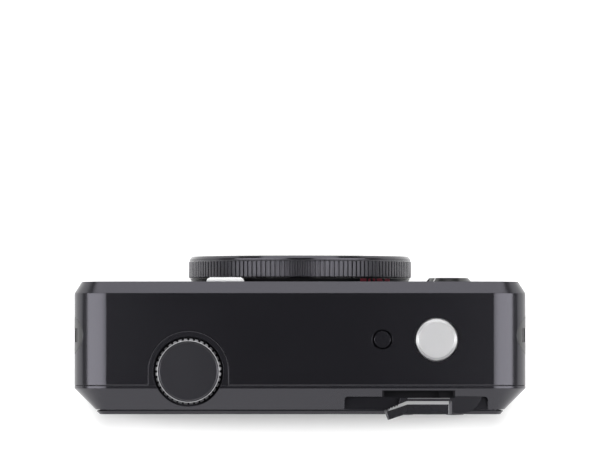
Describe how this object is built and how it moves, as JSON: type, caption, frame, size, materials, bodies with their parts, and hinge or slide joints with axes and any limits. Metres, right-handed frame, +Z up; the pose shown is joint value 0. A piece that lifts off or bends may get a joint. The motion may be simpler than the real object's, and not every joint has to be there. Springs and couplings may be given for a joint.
{
  "type": "instant print camera",
  "caption": "Boxy compact camera with a built-in instant film printer: knurled lens ring, top dial, silver shutter button, side-swinging print lever and a rear film door with a display",
  "frame": {"origin": "The mouth of the tripod socket, in the plane of the base, under the lens axis", "axes": "+X along the camera's width, to the right seen from behind; +Y out of the lens; +Z up"},
  "size_m": [0.124, 0.0454, 0.0927],
  "materials": {
    "casing": "satin dark grey paint over a moulded shell",
    "rear_casing": "fine satin moulded plastic",
    "door_casing": "fine satin moulded plastic",
    "steel": "plain bright steel",
    "ring_black": "satin black with milled grip",
    "gloss_black": "polished black",
    "inner_black": "moulded matt black",
    "lens_glass": "coated optical glass",
    "flash_lens": "frosted clear acrylic",
    "reflector": "bright metallised plastic",
    "capacitor_sleeve": "shrink sleeve",
    "bearing_brass": "turned brass",
    "lug_metal": "satin dark grey",
    "film_cassette": "ribbed matt black",
    "motor_can": "drawn steel can",
    "chassis_metal": "pressed sheet",
    "circuit_board": "solder-masked laminate",
    "battery_sleeve": "wrapped cell",
    "display_glass": "black bordered cover glass",
    "display_panel": "dark panel",
    "key_black": "satin black",
    "lever_black": "satin dark metal with bright edges",
    "silver": "satin silver",
    "roller_rubber": "matt rubber sleeve",
    "gear_plastic": "natural acetal"
  },
  "bodies": {
    "root": {"front_shell": "casing", "rear_shell": "rear_casing", "lens_base_ring": "gloss_black", "lens_bezel": "gloss_black", "lens_barrel": "gloss_black", "lens_carrier": "inner_black", "front_glass": "lens_glass", "rear_glass": "lens_glass", "image_sensor": "inner_black", "flash_window": "flash_lens", "flash_reflector": "reflector", "flash_tube": "flash_lens", "flash_capacitor": "capacitor_sleeve", "release_switch": "inner_black", "mirror": "reflector", "top_switches": "inner_black", "dial_bush": "bearing_brass", "dial_encoder": "inner_black", "steel_pins": "steel", "lever_spring": "steel", "strap_lugs": "lug_metal", "strap_bars": "steel", "film_pack": "film_cassette", "print_head": "inner_black", "motor": "motor_can", "roller_frame": "inner_black", "chassis": "chassis_metal", "main_board": "circuit_board", "top_board": "circuit_board", "battery": "battery_sleeve", "usb_socket": "steel", "card_socket": "steel", "tripod_bush": "bearing_brass"},
    "film_door": {"film_door": "door_casing", "display_window": "display_glass", "display_panel": "display_panel", "pressure_spring": "steel"},
    "door_latch": {"door_latch": "key_black"},
    "direction_pad": {"direction_pad": "key_black"},
    "ok_key": {"ok_key": "key_black"},
    "key_back": {"key_back": "key_black"},
    "key_play": {"key_play": "key_black"},
    "key_menu": {"key_menu": "key_black"},
    "key_delete": {"key_delete": "key_black"},
    "lens_ring": {"lens_ring": "ring_black"},
    "dial": {"dial": "ring_black"},
    "print_lever": {"print_lever": "lever_black"},
    "shutter_button": {"shutter_button": "silver"},
    "small_button": {"small_button": "casing"},
    "power_collar": {"power_collar": "gloss_black"},
    "front_button": {"front_button": "gloss_black"},
    "drive_roller": {"drive_roller": "roller_rubber", "drive_gear": "gear_plastic"},
    "pinch_roller": {"pinch_roller": "roller_rubber", "pinch_gear": "gear_plastic"},
    "idler_gear": {"idler_gear": "gear_plastic"},
    "motor_pinion": {"motor_pinion": "gear_plastic", "motor_shaft": "steel"},
    "port_door": {"port_door": "casing"}
  },
  "joints": [
    {"name": "lens_ring_turn", "type": "hinge", "parent": "root", "child": "lens_ring", "pos_m": [0, 0.0222, 0.044], "axis": [0, 1, 0], "continuous": true},
    {"name": "dial_turn", "type": "hinge", "parent": "root", "child": "dial", "pos_m": [-0.03055, -0.00644, 0.088], "axis": [0, 0, 1], "continuous": true},
    {"name": "print_lever_swing", "type": "hinge", "parent": "root", "child": "print_lever", "pos_m": [0.044, -0.0121, 0.0864], "axis": [0, 0, 1], "range_deg": [0, 50], "stiffness_Nm_per_rad": 0.01},
    {"name": "shutter_press", "type": "slide", "parent": "root", "child": "shutter_button", "axis": [0, 0, -1], "range_m": [0, 0.0012], "stiffness_N_per_m": 400},
    {"name": "small_press", "type": "slide", "parent": "root", "child": "small_button", "axis": [0, 0, -1], "range_m": [0, 0.0004], "stiffness_N_per_m": 400},
    {"name": "front_press", "type": "slide", "parent": "root", "child": "front_button", "axis": [0, -1, 0], "range_m": [0, 0.0008], "stiffness_N_per_m": 400},
    {"name": "power_turn", "type": "hinge", "parent": "root", "child": "power_collar", "pos_m": [0.0412, 0.0175, 0.064], "axis": [0, 1, 0], "range_deg": [0, 35]},
    {"name": "film_door_swing", "type": "hinge", "parent": "root", "child": "film_door", "pos_m": [-0.0566, -0.0146, 0.0455], "axis": [0, 0, -1], "range_deg": [0, 95]},
    {"name": "latch_slide", "type": "slide", "parent": "film_door", "child": "door_latch", "axis": [-1, 0, 0], "range_m": [0, 0.002]},
    {"name": "direction_pad_press", "type": "slide", "parent": "film_door", "child": "direction_pad", "axis": [0, 1, 0], "range_m": [0, 0.0004], "stiffness_N_per_m": 300},
    {"name": "ok_key_press", "type": "slide", "parent": "film_door", "child": "ok_key", "axis": [0, 1, 0], "range_m": [0, 0.0004], "stiffness_N_per_m": 300},
    {"name": "key_back_press", "type": "slide", "parent": "film_door", "child": "key_back", "axis": [0, 1, 0], "range_m": [0, 0.0004], "stiffness_N_per_m": 300},
    {"name": "key_play_press", "type": "slide", "parent": "film_door", "child": "key_play", "axis": [0, 1, 0], "range_m": [0, 0.0004], "stiffness_N_per_m": 300},
    {"name": "key_menu_press", "type": "slide", "parent": "film_door", "child": "key_menu", "axis": [0, 1, 0], "range_m": [0, 0.0004], "stiffness_N_per_m": 300},
    {"name": "key_delete_press", "type": "slide", "parent": "film_door", "child": "key_delete", "axis": [0, 1, 0], "range_m": [0, 0.0004], "stiffness_N_per_m": 300},
    {"name": "port_door_swing", "type": "hinge", "parent": "root", "child": "port_door", "pos_m": [0.0612, 0, 0.0149], "axis": [0, 1, 0], "range_deg": [0, 90]},
    {"name": "drive_roller_turn", "type": "hinge", "parent": "root", "child": "drive_roller", "pos_m": [-0.0515, -0.0014, 0.045], "axis": [0, 0, 1], "continuous": true},
    {"name": "pinch_roller_turn", "type": "hinge", "parent": "root", "child": "pinch_roller", "pos_m": [-0.0515, -0.0086, 0.045], "axis": [0, 0, 1], "continuous": true},
    {"name": "idler_turn", "type": "hinge", "parent": "root", "child": "idler_gear", "pos_m": [-0.0444, 0.00183, 0.012], "axis": [0, 0, 1], "continuous": true},
    {"name": "motor_turn", "type": "hinge", "parent": "root", "child": "motor_pinion", "pos_m": [-0.045, 0.009, 0.012], "axis": [0, 0, 1], "continuous": true}
  ],
  "couplings": [
    {"joint": "pinch_roller_turn", "follows": "drive_roller_turn", "ratio": -1},
    {"joint": "idler_turn", "follows": "drive_roller_turn", "ratio": -0.85714},
    {"joint": "motor_turn", "follows": "drive_roller_turn", "ratio": 1.2}
  ]
}
